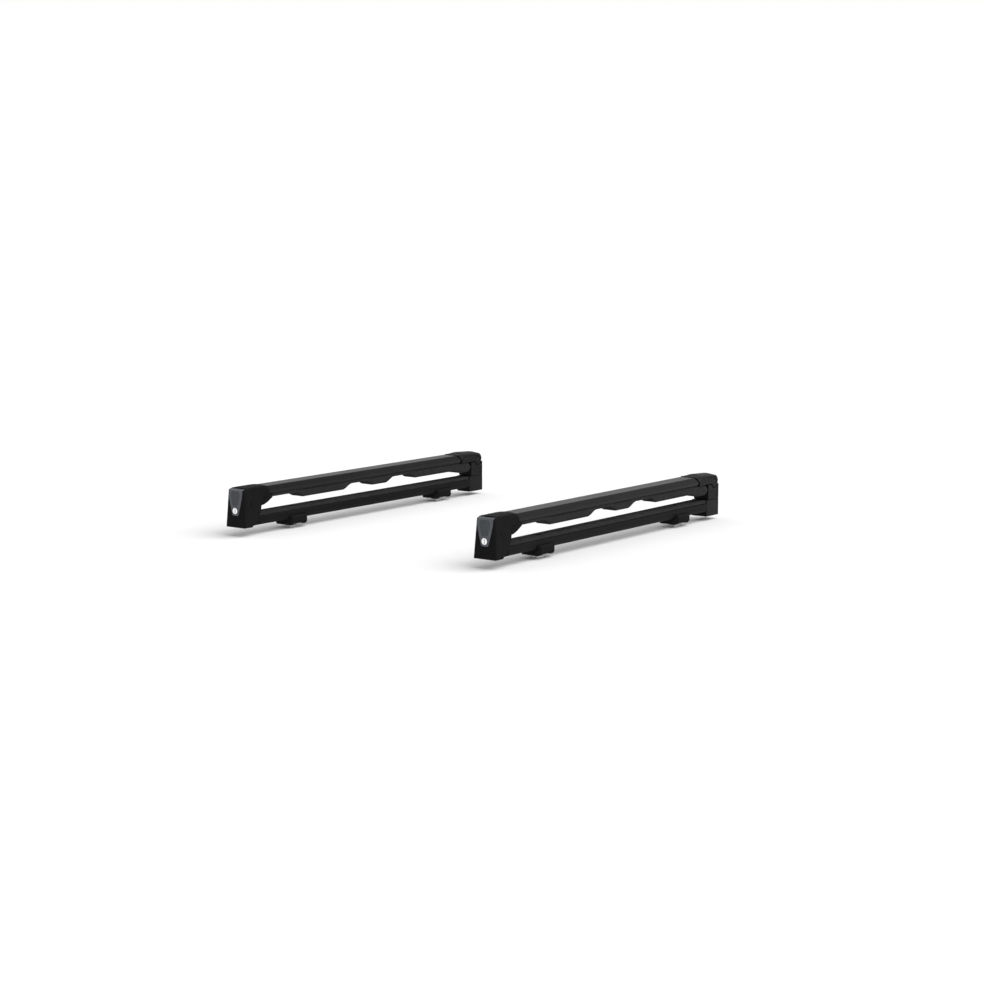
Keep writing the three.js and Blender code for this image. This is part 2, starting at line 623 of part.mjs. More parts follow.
// ---- One carrier: name, geometry and material of each piece.
function carrierPieces() {
  const feet = Object.entries(footXs).flatMap(([end, x]) => [
    [`foot_bracket_${end}`, footPiece(x), "plastic"],
    [`foot_pad_${end}_outer`, footPadPiece(x, end === "lock" ? -1 : 1), "rubber"],
    [`foot_pad_${end}_inner`, footPadPiece(x, end === "lock" ? 1 : -1), "rubber"],
    [`clamp_screw_${end}`, clampScrewPiece(x), "steel"],
    [`track_nut_${end}`, trackNutPiece(x), "steel"],
  ]);
  return [
    ["lower_rail", lowerRailPiece(), "rail"],
    ["lower_pad", lowerPadPiece(), "rubber"],
    ["lower_end_block", endBlockPiece(), "plastic"],
    ["striker_plate", strikerPiece(), "steel"],
    ["post_guide", guidePiece(), "plastic"],
    ["spring_rod", springRodPiece(), "steel"],
    ...feet,
    ["hinge_post", postPiece(), "plastic"],
    ["hinge_pin", hingePinPiece(), "steel"],
    ["lift_spring", liftSpringPiece(), "steel"],
    ["upper_rail", upperRailPiece(), "rail"],
    ["upper_pad", upperPadPiece(), "rubber"],
    ["hinge_cap", hingeCapPiece(), "plastic"],
    ["lock_housing", housingPiece(), "plastic"],
    ["housing_cover", housingCoverPiece(), "plastic"],
    ["latch_pin", latchPinPiece(), "steel"],
    ["release_button", buttonPiece(), "button"],
    ["button_spring", buttonSpringPiece(), "steel"],
    ["lock_cylinder", lockCylinderPiece(), "chrome"],
    ["lock_cam", lockCamPiece(), "steel"],
    ["latch_hook", latchPiece(), "steel"],
  ];
}

// ---- The pair.
const middleX = (lockFaceX + post.x1) / 2;
const pieces = carrierPieces();
const carriers = new THREE.Group();
for (const [prefix, side] of [["front", -1], ["rear", 1]]) {
  const carrier = new THREE.Group();
  for (const [name, geometry, material] of pieces) {
    const mesh = new THREE.Mesh(geometry, materials[material]);
    mesh.name = `${prefix}_${name}`;
    carrier.add(mesh);
  }
  carrier.position.set(-middleX, (side * unitSpacing) / 2, -trackNut.bottom);
  carriers.add(carrier);
}

export default carriers;
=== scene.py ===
"""Looks for a pair of clamping roof ski carriers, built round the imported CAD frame.

Each carrier is drawn once, in millimetres in its own frame: x = 0 is the outer face of the lock
housing, y = 0 the middle of the carrier and z = 0 one millimetre above the lower rail's
underside. Every piece is then placed twice, at the origins of the two CAD carriers.
"""

import math

import bmesh
import bpy
import numpy as np
from mathutils import Matrix, Vector
from mathutils.geometry import delaunay_2d_cdt


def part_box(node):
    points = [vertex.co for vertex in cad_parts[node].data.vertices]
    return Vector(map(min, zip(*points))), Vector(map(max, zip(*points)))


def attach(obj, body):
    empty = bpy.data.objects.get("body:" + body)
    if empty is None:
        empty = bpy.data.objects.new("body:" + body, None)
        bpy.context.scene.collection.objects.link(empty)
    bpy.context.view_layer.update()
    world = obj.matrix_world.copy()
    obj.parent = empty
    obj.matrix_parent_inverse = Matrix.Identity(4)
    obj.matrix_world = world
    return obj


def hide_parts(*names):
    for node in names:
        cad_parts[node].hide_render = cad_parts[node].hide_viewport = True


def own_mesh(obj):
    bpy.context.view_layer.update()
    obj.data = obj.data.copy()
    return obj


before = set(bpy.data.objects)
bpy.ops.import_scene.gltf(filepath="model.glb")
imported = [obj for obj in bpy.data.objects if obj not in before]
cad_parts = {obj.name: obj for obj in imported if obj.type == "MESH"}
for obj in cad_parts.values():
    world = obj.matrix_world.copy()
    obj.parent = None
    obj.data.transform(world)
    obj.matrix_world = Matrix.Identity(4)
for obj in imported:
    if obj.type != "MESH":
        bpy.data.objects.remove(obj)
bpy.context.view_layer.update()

MM = 0.001
SIDES = ("front", "rear")

# ---- Dimensions in a carrier's own frame. They follow the CAD's, a few of them within tenths of a
# millimetre. The seam's shadow is a gap of this model's own.
RAIL = {"half": 20, "height": 19, "wall": 2, "bead": 0.6, "slot": 7}
LOWER_RAIL = {"x0": 56, "x1": 830.1, "z": -1}
UPPER_RAIL = {"x0": 34, "z": 65.4}
SEAM = {"top": (779, 85.6), "bend": (801, 70.5), "low": (797, 62), "width": 3.5, "shadow": 1.3}
PAD = {"half": 19, "neck": 6.6, "root": 11}
LOWER_PAD = {"x0": 60, "x1": 830.2, "bottom": 18.3, "top": 26, "root_x0": 75}
UPPER_PAD = {"x0": 102, "x1": 836.5, "top": 65.1, "hang": 45.5, "seat": 57.5, "nose": 38}
SKI_SEATS = ((60, 180), (379, 428), (535, 590))
HOUSING = {"length": 88.4, "underside": -2.5, "top": 85.2, "height": 87.6, "crown": 2.2,
           "low_half": 29.5, "high_half": 22.8, "low_corner": 4.5, "high_corner": 9,
           "cavity_half": 21.2, "ceiling": 84.9, "lean": 2}
BUTTON = {"bottom": 24, "low_half": 8.8, "shoulder": 70, "top": 84.5, "high_half": 20.8}
PANEL = ((8, 45.5, 4), (14.4, 69, 5), (11.5, 79.5, 4))
LATCH_PIN = (22, 51)
LOCK_Z = 35
HINGE = (867.5, 68)
LOBE = 14.5
SADDLE = 16.3
CAP_UNDERSIDE = 62.6
CAP_PLUG_X0 = 758
POST = {"x0": 837.5, "x1": 887.5, "half": 20, "shoulder": 60.7, "collar": 26.6}
STEM = {"x0": 842.5, "x1": 882.5, "half": 15}
WELL_X = 850.5
GUIDE_X0 = 830.5
FEET = {"lock": 186, "hinge": 722}

# ---- Half widths of mouldings, radii of bores and the angle from which an edge is sharp.
CAP_HALF = 20.6
PLUG_HALF = 17.6
SCREW_HOLE = 4.5
ACCESS_HOLE = 7.5
NUT_BORE = 4.3
PIN_BORE = 4.3
LATCH_BORE = 2.8
WELL_RADIUS = 6
SHARP_ANGLE = 34


# ---- Outlines.
def outline(points, steps=6):
    """A closed outline from corners (u, v) or (u, v, setback of the rounded corner)."""
    loop = []
    for i, point in enumerate(points):
        corner = np.array(point[:2], float)
        setback = point[2] if len(point) > 2 else 0
        if not setback:
            loop.append(corner)
            continue
        before = np.array(points[i - 1][:2], float) - corner
        after = np.array(points[(i + 1) % len(points)][:2], float) - corner
        start = corner + before / np.linalg.norm(before) * setback
        end = corner + after / np.linalg.norm(after) * setback
        for t in np.linspace(0, 1, steps + 1):
            loop.append((1 - t) ** 2 * start + 2 * t * (1 - t) * corner + t * t * end)
    return counter_clockwise(np.array(loop))


def counter_clockwise(loop):
    after = np.roll(loop, -1, axis=0)
    area = np.sum(loop[:, 0] * after[:, 1] - after[:, 0] * loop[:, 1])
    return loop if area > 0 else loop[::-1]


def mirrored(half):
    """The outline of half a section, given from one end to the other, with its mirror image."""
    return outline(list(half) + [(-p[0], *p[1:]) for p in reversed(half)])


def circle(centre, radius, count=40):
    turns = np.linspace(0, 2 * math.pi, count, endpoint=False)
    return np.array(centre) + radius * np.stack([np.cos(turns), np.sin(turns)], 1)


def densified(loop, spacing):
    """The same outline with no side longer than the spacing."""
    fine = []
    for i, start in enumerate(loop):
        end = loop[(i + 1) % len(loop)]
        count = max(1, math.ceil(np.linalg.norm(end - start) / spacing))
        fine += [start + (end - start) * k / count for k in range(count)]
    return np.array(fine)


def inward(loop):
    """The direction at each point that leaves an even border when the outline shrinks."""
    before = loop - np.roll(loop, 1, axis=0)
    after = np.roll(loop, -1, axis=0) - loop
    lefts = []
    for side in (before, after):
        unit = side / np.linalg.norm(side, axis=1)[:, None]
        lefts.append(np.stack([-unit[:, 1], unit[:, 0]], 1))
    middle = lefts[0] + lefts[1]
    middle /= np.linalg.norm(middle, axis=1)[:, None]
    stretch = 1 / np.maximum(0.5, np.sum(middle * lefts[0], axis=1))
    return middle * stretch[:, None]


def smooth_step(value):
    t = np.clip(value, 0.0, 1.0)
    return t * t * (3 - 2 * t)


# ---- Solids. They are made in millimetres and scaled when they are placed.
def along(axis, uv, w):
    """Outline points at a place along the axis: x takes (y, z), y takes (x, z), z takes (x, y)."""
    u, v = uv[:, 0], uv[:, 1]
    w = np.broadcast_to(w, u.shape)
    order = {"x": (w, u, v), "y": (u, w, v), "z": (u, v, w)}
    return np.stack(order[axis], 1)


def mesh_object(verts, faces):
    mesh = bpy.data.meshes.new("made")
    mesh.from_pydata([tuple(v) for v in verts], [], [tuple(f) for f in faces])
    bm = bmesh.new()
    bm.from_mesh(mesh)
    bmesh.ops.remove_doubles(bm, verts=bm.verts, dist=1e-4)
    bmesh.ops.recalc_face_normals(bm, faces=bm.faces)
    bm.to_mesh(mesh)
    bm.free()
    made = bpy.data.objects.new("made", mesh)
    bpy.context.scene.collection.objects.link(made)
    return made


def rings_to_faces(ring_count, ring_size):
    faces = []
    for r in range(ring_count - 1):
        for i in range(ring_size):
            j = (i + 1) % ring_size
            low, high = r * ring_size, (r + 1) * ring_size
            faces.append((low + i, low + j, high + j, high + i))
    return faces


def loft(rings):
    """A closed solid through rings of the same number of points."""
    size = len(rings[0])
    faces = rings_to_faces(len(rings), size)
    faces.append(tuple(range(size))[::-1])
    last = (len(rings) - 1) * size
    faces.append(tuple(range(last, last + size)))
    return mesh_object(np.concatenate(rings), faces)


def prism(loop, axis, low, high, edge=0.5, segments=3):
    """An extruded outline whose two ends have rounded edges."""
    shrink = inward(loop)
    rings = []
    for turn in np.linspace(0, math.pi / 2, segments + 1):
        inset, depth = edge * (1 - math.sin(turn)), edge * (1 - math.cos(turn))
        rings.append(along(axis, loop + shrink * inset, low + depth))
    for turn in np.linspace(math.pi / 2, 0, segments + 1):
        inset, depth = edge * (1 - math.sin(turn)), edge * (1 - math.cos(turn))
        rings.append(along(axis, loop + shrink * inset, high - depth))
    return loft(rings)


def bar(axis, centre, radius, low, high, edge=0.4, count=40):
    return prism(circle(centre, radius, count), axis, low, high, edge)


def brick(xs, ys, zs, edge=0.02, corner=0.0):
    """A block with rounded ends along Z and, if asked, rounded upright corners."""
    points = [(xs[0], ys[0]), (xs[1], ys[0]), (xs[1], ys[1]), (xs[0], ys[1])]
    if corner:
        points = [(*p, corner) for p in points]
    return prism(outline(points), "z", zs[0], zs[1], edge, 2)


def frustum(low_loop, high_loop, axis, low, high):
    return loft([along(axis, low_loop, low), along(axis, high_loop, high)])


def turned(axis, centre, profile, count=48):
    """A solid of revolution: profile is a list of (radius, place along the axis)."""
    rings = [along(axis, circle(centre, max(r, 0.01), count), w) for r, w in profile]
    return loft(rings)


def combined(base, tools, operation):
    for tool in tools:
        modifier = base.modifiers.new("cut", "BOOLEAN")
        modifier.operation = operation
        modifier.solver = "EXACT"
        modifier.object = tool
    graph = bpy.context.evaluated_depsgraph_get()
    mesh = bpy.data.meshes.new_from_object(base.evaluated_get(graph))
    base.modifiers.clear()
    base.data = mesh
    for tool in tools:
        bpy.data.objects.remove(tool)
    return base


def joined(base, *tools):
    return combined(base, tools, "UNION")


def cut(base, *tools):
    return combined(base, tools, "DIFFERENCE")


def gridded(border, columns, rows):
    """Triangles over an outline with a grid of points inside it, and for each point the number
    of the border point that it is, if it is one."""
    inside = [(u, v) for u in columns for v in rows if clear_of(border, u, v, 0.6)]
    flat = [Vector(p) for p in border] + [Vector(p) for p in inside]
    size = len(border)
    sides = [(i, (i + 1) % size) for i in range(size)]
    points, _, triangles, origins, _, _ = delaunay_2d_cdt(flat, sides, [], 1, 1e-5)
    sources = [min(o) if o and min(o) < size else None for o in origins]
    return points, triangles, sources


def add_face(verts, faces, first, grid, position):
    """Closes the ring of vertices that starts at the given one with a gridded face."""
    points, triangles, sources = grid
    index = []
    for point, source in zip(points, sources):
        if source is None:
            index.append(len(verts))
            verts.append(position(*point))
        else:
            index.append(first + source)
    faces.extend(tuple(index[i] for i in triangle) for triangle in triangles)


def beside(base, other):
    """One object that holds both closed shells."""
    bm = bmesh.new()
    bm.from_mesh(base.data)
    bm.from_mesh(other.data)
    bm.to_mesh(base.data)
    bm.free()
    bpy.data.objects.remove(other)
    return base


def slab(loop, half, edge, sunk, columns, rows, wall_steps=10, segments=4):
    """A body that is symmetric about y = 0. The loop is its outline in (x, z), half(x, z) its
    half width, edge(x, z) the radius of its edges and sunk(x, z) how deep its sides are let in."""
    shrink = inward(loop)
    radius = edge(loop[:, 0], loop[:, 1])
    side_rings = []
    for turn in np.linspace(0, math.pi / 2, segments + 1):
        ring = loop + shrink * (radius * (1 - math.cos(turn)))[:, None]
        out = half(ring[:, 0], ring[:, 1]) - radius * (1 - math.sin(turn))
        side_rings.append((ring, out))
    wall = []
    for share in np.linspace(-1, 1, wall_steps + 1):
        wall.append(along("y", side_rings[0][0], side_rings[0][1] * share))
    rings = [along("y", ring, -out) for ring, out in side_rings[:0:-1]]
    rings += wall + [along("y", ring, out) for ring, out in side_rings[1:]]
    verts = list(np.concatenate(rings))
    faces = rings_to_faces(len(rings), len(loop))
    grid = gridded(side_rings[-1][0], columns, rows)
    for direction, first in ((-1, 0), (1, (len(rings) - 1) * len(loop))):
        add_face(verts, faces, first, grid,
                 lambda x, z, d=direction: (x, d * float(half(x, z) - sunk(x, z)), z))
    return mesh_object(verts, faces)


def face_plate(loop, front, back, edge, sunk, step=1.1, segments=4):
    """A plate across X. The loop is its outline in (y, z), its face follows front(y, z) and is
    let in by sunk(y, z), and its back is flat."""
    shrink = inward(loop)
    rings = [along("x", loop, back)]
    for turn in np.linspace(0, math.pi / 2, segments + 1):
        ring = loop + shrink * edge * (1 - math.cos(turn))
        rings.append(along("x", ring, front(ring[:, 0], ring[:, 1]) + edge * (1 - math.sin(turn))))
    border = rings[-1][:, 1:]
    verts = list(np.concatenate(rings))
    faces = rings_to_faces(len(rings), len(loop))
    faces.append(tuple(range(len(loop))))
    columns = np.arange(border[:, 0].min(), border[:, 0].max(), step)
    rows = np.arange(border[:, 1].min(), border[:, 1].max(), step)
    add_face(verts, faces, (len(rings) - 1) * len(loop), gridded(border, columns, rows),
             lambda y, z: (float(front(y, z) + sunk(y, z)), y, z))
    return mesh_object(verts, faces)


def depth_inside(loop, u, v):
    """How far a point lies inside a convex outline, or less than zero outside it."""
    side = np.roll(loop, -1, axis=0) - loop
    side = side / np.linalg.norm(side, axis=1)[:, None]
    return float(np.min(side[:, 0] * (v - loop[:, 1]) - side[:, 1] * (u - loop[:, 0])))


def clear_of(loop, x, z, margin):
    """True if a point is inside the loop and further from it than the margin."""
    point = np.array((x, z))
    after = np.roll(loop, -1, axis=0)
    side = after - loop
    share = np.clip(np.sum((point - loop) * side, 1) / np.sum(side * side, 1), 0, 1)
    distance = np.linalg.norm(loop + side * share[:, None] - point, axis=1).min()
    crosses = (loop[:, 1] > z) != (after[:, 1] > z)
    with np.errstate(divide="ignore", invalid="ignore"):
        at = loop[:, 0] + (z - loop[:, 1]) * side[:, 0] / side[:, 1]
    return bool(np.sum(crosses & (x < at)) % 2) and distance > margin


def tube(points, radius, sides=10):
    """A round wire along a list of points."""
    points = np.array(points, float)
    tangents = np.gradient(points, axis=0)
    tangents /= np.linalg.norm(tangents, axis=1)[:, None]
    normal = np.cross(tangents[0], (0.0, 0.0, 1.0))
    if np.linalg.norm(normal) < 1e-6:
        normal = np.array((1.0, 0.0, 0.0))
    rings = []
    for point, tangent in zip(points, tangents):
        normal = normal - tangent * np.dot(normal, tangent)
        normal /= np.linalg.norm(normal)
        other = np.cross(tangent, normal)
        turns = np.linspace(0, 2 * math.pi, sides, endpoint=False)
        spokes = np.outer(np.cos(turns), normal) + np.outer(np.sin(turns), other)
        rings.append(point + radius * spokes)
    return loft(rings)


def coil(radius, wire, turns, length):
    """A compression spring along +Z with closed ends, from z = 0 to its length."""
    closed = 0.9
    rise = 2 * wire
    span = length - 2 * wire
    points = []
    for t in np.linspace(0, 1, int(turns * 28) + 1):
        turn = t * turns
        head, tail = min(turn, closed), max(0.0, turn - (turns - closed))
        middle = turn - head - tail
        pitch = (span - 2 * closed * rise) / (turns - 2 * closed)
        z = wire + (head + tail) * rise + middle * pitch
        angle = 2 * math.pi * turn
        points.append((radius * math.cos(angle), radius * math.sin(angle), z))
    return tube(points, wire)


def threaded(centre, radius, depth, pitch, low, high, count=32):
    """An upright screw shank with a real helical thread."""
    rings = [along("z", circle(centre, radius - depth, count), low)]
    turns = np.linspace(0, 1, count, endpoint=False)
    for z in np.arange(low + 0.2, high, pitch / 6):
        phase = (z / pitch - turns) % 1
        fade = min(1.0, (z - low) / (2 * pitch), (high - z) / pitch)
        reach = radius - depth * (1 - np.maximum(0.0, 1 - np.abs(2 * phase - 1) * 1.25) * fade)
        angles = turns * 2 * math.pi
        ring = np.array(centre) + np.stack([np.cos(angles), np.sin(angles)], 1) * reach[:, None]
        rings.append(along("z", ring, z))
    rings.append(along("z", circle(centre, radius - depth, count), high))
    return loft(rings)


# ---- Materials: every one is made of nodes and works in the piece's own coordinates.
class Nodes:
    """A material's node tree with short calls for the nodes that repeat."""

    def __init__(self, name):
        self.material = bpy.data.materials.new(name)
        self.material.use_nodes = True
        self.tree = self.material.node_tree
        self.shader = self.tree.nodes["Principled BSDF"]
        self.coordinates = self.tree.nodes.new("ShaderNodeTexCoord").outputs["Object"]

    def link(self, output, target):
        self.tree.links.new(output, target)

    def noise(self, scale, detail=3.0, stretch=(1, 1, 1)):
        mapping = self.tree.nodes.new("ShaderNodeMapping")
        mapping.inputs["Scale"].default_value = stretch
        self.link(self.coordinates, mapping.inputs["Vector"])
        noise = self.tree.nodes.new("ShaderNodeTexNoise")
        noise.inputs["Scale"].default_value = scale
        noise.inputs["Detail"].default_value = detail
        self.link(mapping.outputs["Vector"], noise.inputs["Vector"])
        return noise.outputs["Fac"]

    def cells(self, scale):
        voronoi = self.tree.nodes.new("ShaderNodeTexVoronoi")
        voronoi.inputs["Scale"].default_value = scale
        self.link(self.coordinates, voronoi.inputs["Vector"])
        return voronoi.outputs["Distance"]

    def ranged(self, value, low, high, start=0.3, end=0.7):
        node = self.tree.nodes.new("ShaderNodeMapRange")
        node.inputs["From Min"].default_value = start
        node.inputs["From Max"].default_value = end
        node.inputs["To Min"].default_value = low
        node.inputs["To Max"].default_value = high
        self.link(value, node.inputs["Value"])
        return node.outputs["Result"]

    def mixed(self, share, first, second):
        node = self.tree.nodes.new("ShaderNodeMix")
        node.data_type = "RGBA"
        for socket, colour in ((node.inputs[6], first), (node.inputs[7], second)):
            if isinstance(colour, tuple):
                socket.default_value = (*colour, 1)
            else:
                self.link(colour, socket)
        self.link(share, node.inputs[0])
        return node.outputs[2]

    def bump(self, height, strength, distance, below=None):
        node = self.tree.nodes.new("ShaderNodeBump")
        node.inputs["Strength"].default_value = strength
        node.inputs["Distance"].default_value = distance
        self.link(height, node.inputs["Height"])
        if below is not None:
            self.link(below, node.inputs["Normal"])
        return node.outputs["Normal"]

    # A paler colour on convex edges, from the mesh's pointiness.
    def pale_convex_edges(self):
        geometry = self.tree.nodes.new("ShaderNodeNewGeometry")
        return self.ranged(geometry.outputs["Pointiness"], 0.0, 1.0, 0.54, 0.64)

    def set(self, **values):
        for key, value in values.items():
            socket = self.shader.inputs[key.replace("_", " ")]
            if isinstance(value, (int, float)):
                socket.default_value = value
            else:
                self.link(value, socket)
        return self.material


def moulded_plastic(name, dark, light, edge_colour, roughness, specular):
    """Spark-eroded moulded plastic: a fine pebble grain, faint sheen patches, paler edges."""
    n = Nodes(name)
    patches = n.ranged(n.noise(35, 4), 0, 1)
    colour = n.mixed(patches, dark, light)
    colour = n.mixed(n.pale_convex_edges(), colour, edge_colour)
    grain = n.bump(n.cells(2100), 0.22, 0.00008)
    grain = n.bump(n.noise(5200, 2), 0.18, 0.00005, grain)
    rough = n.ranged(n.noise(160, 5), roughness - 0.05, roughness + 0.06)
    n.link(colour, n.shader.inputs["Base Color"])
    return n.set(Roughness=rough, Specular_IOR_Level=specular, Normal=grain)


def coated_aluminium(name, dark, light, edge_colour, specular):
    """Black coated extrusion: die lines along the length and a satin sheen."""
    n = Nodes(name)
    lines = n.noise(900, 3, (0.012, 1, 1))
    patches = n.ranged(n.noise(14, 3), 0, 1)
    colour = n.mixed(patches, dark, light)
    colour = n.mixed(n.pale_convex_edges(), colour, edge_colour)
    fine = n.bump(lines, 0.16, 0.00006)
    fine = n.bump(n.noise(3800, 2), 0.10, 0.00004, fine)
    rough = n.ranged(lines, 0.33, 0.42)
    n.link(colour, n.shader.inputs["Base Color"])
    return n.set(Roughness=rough, Specular_IOR_Level=specular, Normal=fine)


def soft_rubber():
    """Cellular rubber: matt, with a pored skin and a dusty bloom."""
    n = Nodes("soft_rubber")
    bloom = n.ranged(n.noise(70, 6), 0, 1, 0.35, 0.75)
    colour = n.mixed(bloom, (0.0095, 0.0095, 0.0095), (0.0165, 0.0165, 0.016))
    pores = n.bump(n.cells(900), 0.35, 0.00018)
    pores = n.bump(n.noise(2600, 3), 0.3, 0.0001, pores)
    rough = n.ranged(n.noise(300, 4), 0.72, 0.9)
    n.link(colour, n.shader.inputs["Base Color"])
    return n.set(Roughness=rough, Specular_IOR_Level=0.2, Normal=pores)


def brushed_metal(name, dark, light, roughness, stretch, scale=1500):
    n = Nodes(name)
    lines = n.noise(scale, 3, stretch)
    colour = n.mixed(n.ranged(n.noise(180, 5), 0, 1), dark, light)
    fine = n.bump(lines, 0.2, 0.00005)
    rough = n.ranged(lines, roughness - 0.06, roughness + 0.08)
    n.link(colour, n.shader.inputs["Base Color"])
    return n.set(Roughness=rough, Metallic=1, Normal=fine)


MATERIALS = {
    "plastic": moulded_plastic("matt_black_plastic", (0.0058, 0.0059, 0.0061),
                               (0.008, 0.0081, 0.0084), (0.013, 0.013, 0.0135), 0.6, 0.04),
    "satin": moulded_plastic("satin_black_plastic", (0.005, 0.0051, 0.0053),
                             (0.007, 0.0071, 0.0074), (0.0125, 0.0125, 0.013), 0.42, 0.08),
    "button": moulded_plastic("grey_plastic", (0.068, 0.073, 0.081), (0.078, 0.084, 0.093),
                              (0.115, 0.122, 0.134), 0.42, 0.34),
    # The button's recessed panel finish: a darker grey that is partly its own tone and partly
    # painted shade in the recess.
    "button_panel": moulded_plastic("grey_plastic_painted_shade", (0.046, 0.05, 0.056),
                                    (0.054, 0.059, 0.066), (0.065, 0.071, 0.079), 0.52, 0.22),
    "rail": coated_aluminium("coated_aluminium", (0.0048, 0.005, 0.0051),
                             (0.0068, 0.007, 0.0072), (0.015, 0.015, 0.0156), 0.1),
    # A darker copy of the rail finish for the lower rail: painted shade for the shadow that the
    # upper arm casts on it.
    "painted_shade_rail": coated_aluminium("aluminium_painted_shade", (0.0038, 0.0039, 0.004),
                                  (0.0056, 0.0057, 0.0059), (0.011, 0.011, 0.0115), 0.05),
    "rubber": soft_rubber(),
    "steel": brushed_metal("zinc_steel", (0.46, 0.47, 0.48), (0.62, 0.62, 0.61), 0.34,
                           (1, 1, 0.05)),
    "pin_black": brushed_metal("blackened_steel", (0.03, 0.03, 0.031), (0.05, 0.05, 0.05), 0.36,
                               (1, 0.05, 1)),
    "chrome": brushed_metal("chromed_face", (0.78, 0.79, 0.8), (0.9, 0.9, 0.9), 0.2, (1, 1, 0.1)),
}

# ---- Where the two carriers' own frames lie.
ORIGINS = {}
for side in SIDES:
    low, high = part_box(f"{side}_lower_rail")
    ORIGINS[side] = Vector((low.x - LOWER_RAIL["x0"] * MM, (low.y + high.y) / 2,
                            low.z - LOWER_RAIL["z"] * MM))


def place(solid, node, body, slot, finish=None, panel=None, spring=None):
    """Puts one piece on both carriers, in place of the CAD node of that name. Faces for which
    panel(x, y, z) is true take the slot's panel finish. A spring is given as its joint, its axis,
    its fixed end and the share of its length that is left when the joint is at its limit; these
    values are not used, and a spring only gets a mesh of its own on each carrier."""
    mesh = solid.data
    mesh.materials.clear()
    mesh.materials.append(MATERIALS[finish or slot])
    # For the button the panel finish is darker: partly painted shade in the recessed panel.
    if panel is not None:
        mesh.materials.append(MATERIALS[f"{slot}_panel"])
    for face in mesh.polygons:
        face.material_index = int(panel is not None and panel(*face.center))
    mesh.transform(Matrix.Scale(MM, 4))
    mesh.shade_smooth()
    mesh.set_sharp_from_angle(angle=math.radians(SHARP_ANGLE))
    for side in SIDES:
        name = f"{side}_{node}"
        piece = bpy.data.objects.new(f"{name}_detail", mesh)
        bpy.context.scene.collection.objects.link(piece)
        piece.location = ORIGINS[side]
        weighted = piece.modifiers.new("weighted", "WEIGHTED_NORMAL")
        weighted.keep_sharp = True
        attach(piece, body if body == "base" else f"{side}_{body}")
        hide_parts(name)
        if spring is not None:
            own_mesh(piece)
    bpy.data.objects.remove(solid)


# ---- Rails.
def rail_section(slot_on_top, z):
    half, height, wall = RAIL["half"], RAIL["height"], RAIL["wall"]
    inner, slot = half - wall, RAIL["slot"]
    side = [(half - 1.4, 0, 0.6), (half + RAIL["bead"], 5.4, 0.5), (half, 6.5, 0.3),
            (half, height, 2.4)]
    down = [(slot, height, 0.4), (slot, height - wall, 0.4), (inner, height - wall, 0.8),
            (inner, wall, 0.8)]
    up = [(slot, 0, 0.4), (slot, wall, 0.4), (inner, wall, 0.8), (inner, height - wall, 0.8)]
    half_loop = [*side, *down] if slot_on_top else [*up[::-1], *side]
    return mirrored([(y, v + z, *r) for y, v, *r in half_loop])


def lower_rail():
    section = rail_section(True, LOWER_RAIL["z"])
    whole = prism(section, "x", LOWER_RAIL["x0"], LOWER_RAIL["x1"], 0.3, 2)
    return cut(whole, *[bar("z", (x, 0), SCREW_HOLE, -10, 10, 0.01) for x in FEET.values()])


def upper_rail():
    section = rail_section(False, UPPER_RAIL["z"])
    end = outline([SEAM["low"], (*SEAM["bend"], 2), SEAM["top"], (900, SEAM["top"][1]),
                   (900, SEAM["low"][1])], 4)
    end = sorted((z, x) for x, z in end if x < 850)
    heights, places = [z for z, _ in end], [x for _, x in end]
    rings = [along("x", section, UPPER_RAIL["x0"])]
    for back in (0.3, 0.0):
        ring = section + inward(section) * (0.3 - back)
        seam = np.interp(ring[:, 1], heights, places) - SEAM["width"] - SEAM["shadow"]
        rings.append(along("x", ring, seam - back))
    return loft(rings)


# ---- Pads.
def grooved(y, reach, depth=0.8, pitch=6.0):
    """How far a gripping face is let in by its lengthwise grooves."""
    inside = smooth_step((reach - np.abs(y)) / 1.5)
    return depth * inside * (0.5 - 0.5 * np.cos(2 * math.pi * y / pitch)) ** 2


def pressed(x):
    """How strongly the skis press the upper pad at a place along it, from 0 to 1."""
    ramp = 30.0
    shares = [min(smooth_step((x - a + ramp) / ramp), smooth_step((b + ramp - x) / ramp))
              for a, b in SKI_SEATS]
    return float(max(shares))


def upper_pad_ring(x):
    press = pressed(x)
    flare = float(smooth_step((x - 752) / 50))
    hang, seat, nose = UPPER_PAD["hang"], UPPER_PAD["seat"], UPPER_PAD["nose"]
    bottom = hang + (seat - hang) * press - (hang - nose) * flare
    top, half, root, neck = UPPER_PAD["top"], PAD["half"], PAD["root"], PAD["neck"]
    waist = 15.4 + 1.8 * press
    belly = bottom + 0.45 * (60.5 - bottom)
    right = [(root, top + 6.6), (root, top + 3.0), (neck, top + 3.0), (neck, top),
             (16.0, top), (waist, top - 0.9), (waist, top - 2.2), (half - 1.2, 61.2),
             (half, 59.6 - press), (half, belly), (half - 0.4, bottom + 0.26 * (60.5 - bottom)),
             (half - 1.6, bottom + 0.1 * (60.5 - bottom)), (half - 3.4, bottom + 0.15)]
    across = np.linspace(half - 4.4, -(half - 4.4), 45)
    face = [(y, bottom + float(grooved(y, half - 4.6))) for y in across]
    left = [(-y, z) for y, z in reversed(right)]
    return along("x", np.array(right + face + left), x)


def upper_pad():
    x1 = UPPER_PAD["x1"]
    places = np.append(np.arange(UPPER_PAD["x0"], x1, 4), x1)
    whole = loft([upper_pad_ring(float(x)) for x in places])
    nose = outline([(x1 - 14, 30), (x1 + 5, 30), (x1 + 5, 62), (x1 - 10, 62), (x1, 50, 1.2),
                    (x1 - 9, 37)])
    return cut(
        whole,
        brick((CAP_PLUG_X0 - 1, x1 + 5), (-15, 15), (UPPER_PAD["top"] + 0.15, 80)),
        brick((SEAM["low"][0] - 1, x1 + 5), (-30, 30), (CAP_UNDERSIDE - 0.3, 80)),
        prism(nose, "y", -30, 30, 0.01, 1),
    )


